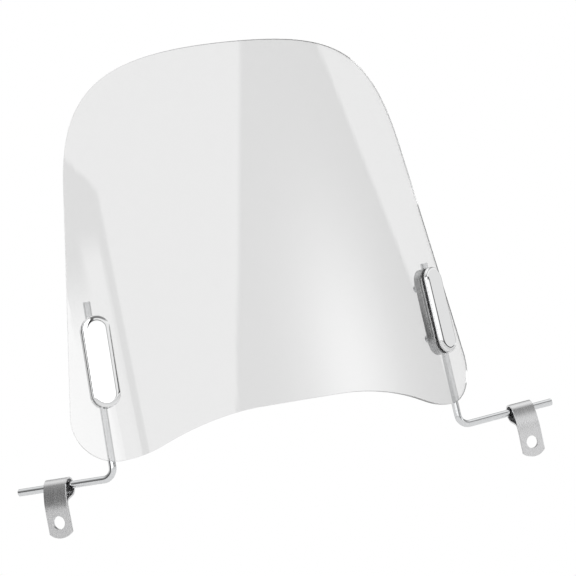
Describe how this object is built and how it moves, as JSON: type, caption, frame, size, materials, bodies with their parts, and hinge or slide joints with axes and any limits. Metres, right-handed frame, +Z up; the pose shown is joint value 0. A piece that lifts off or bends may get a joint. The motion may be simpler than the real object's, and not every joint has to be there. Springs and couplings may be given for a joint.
{
  "type": "windshield screen",
  "caption": "Clear bent motorcycle windshield sheet held by chromed plate clamps on L-shaped rods, with loose strap clips that bolt to a handlebar.",
  "frame": {"origin": "front face of the sheet on its centre line, level with the middle of the clamps", "axes": "+X to the viewer's right seen from the front, +Y towards the rider, +Z up along the sheet"},
  "size_m": [0.4796, 0.1119, 0.3817],
  "materials": {
    "clear_sheet": "clear, polished on both faces",
    "chromed_cap": "mirror",
    "chromed_rod": "bright, with faint drawing lines along it",
    "satin_steel": "satin, brushed along the strap",
    "zinc_steel": "bright zinc",
    "rubber": "matt black"
  },
  "bodies": {
    "screen_assembly": {"windshield_screen": "clear_sheet", "left_front_cap": "chromed_cap", "left_front_gasket": "rubber", "left_rear_gasket": "rubber", "left_rear_cap": "chromed_cap", "left_upper_screw": "zinc_steel", "left_upper_washer": "zinc_steel", "left_upper_bush": "rubber", "left_lower_screw": "zinc_steel", "left_lower_washer": "zinc_steel", "left_lower_bush": "rubber", "right_front_cap": "chromed_cap", "right_front_gasket": "rubber", "right_rear_gasket": "rubber", "right_rear_cap": "chromed_cap", "right_upper_screw": "zinc_steel", "right_upper_washer": "zinc_steel", "right_upper_bush": "rubber", "right_lower_screw": "zinc_steel", "right_lower_washer": "zinc_steel", "right_lower_bush": "rubber"},
    "left_sleeve": {"left_grip_sleeve": "rubber"},
    "left_rod": {"left_support_rod": "chromed_rod"},
    "left_clip": {"left_strap_clip": "satin_steel"},
    "right_sleeve": {"right_grip_sleeve": "rubber"},
    "right_rod": {"right_support_rod": "chromed_rod"},
    "right_clip": {"right_strap_clip": "satin_steel"}
  },
  "joints": [
    {"name": "left_rod_swivel", "type": "hinge", "parent": "screen_assembly", "child": "left_sleeve", "pos_m": [-0.16529, 0.03582, 0.00012], "axis": [-0.0379, 0.0133, -0.9992], "range_deg": [-97, 52]},
    {"name": "left_rod_slide", "type": "slide", "parent": "left_sleeve", "child": "left_rod", "axis": [0.0379, -0.0133, 0.9992], "range_m": [-0.024, 0.006]},
    {"name": "left_clip_turn", "type": "hinge", "parent": "left_rod", "child": "left_clip", "pos_m": [-0.19632, 0.0793, -0.0897], "axis": [0.5446, -0.8364, -0.0615], "continuous": true},
    {"name": "right_rod_swivel", "type": "hinge", "parent": "screen_assembly", "child": "right_sleeve", "pos_m": [0.17131, 0.03802, 0.00012], "axis": [-0.0377, -0.0138, 0.9992], "range_deg": [-26, 124]},
    {"name": "right_rod_slide", "type": "slide", "parent": "right_sleeve", "child": "right_rod", "axis": [-0.0377, -0.0138, 0.9992], "range_m": [-0.017, 0.012]},
    {"name": "right_clip_turn", "type": "hinge", "parent": "right_rod", "child": "right_clip", "pos_m": [0.23079, 0.02558, -0.09658], "axis": [0.9686, -0.2405, 0.0629], "continuous": true}
  ]
}
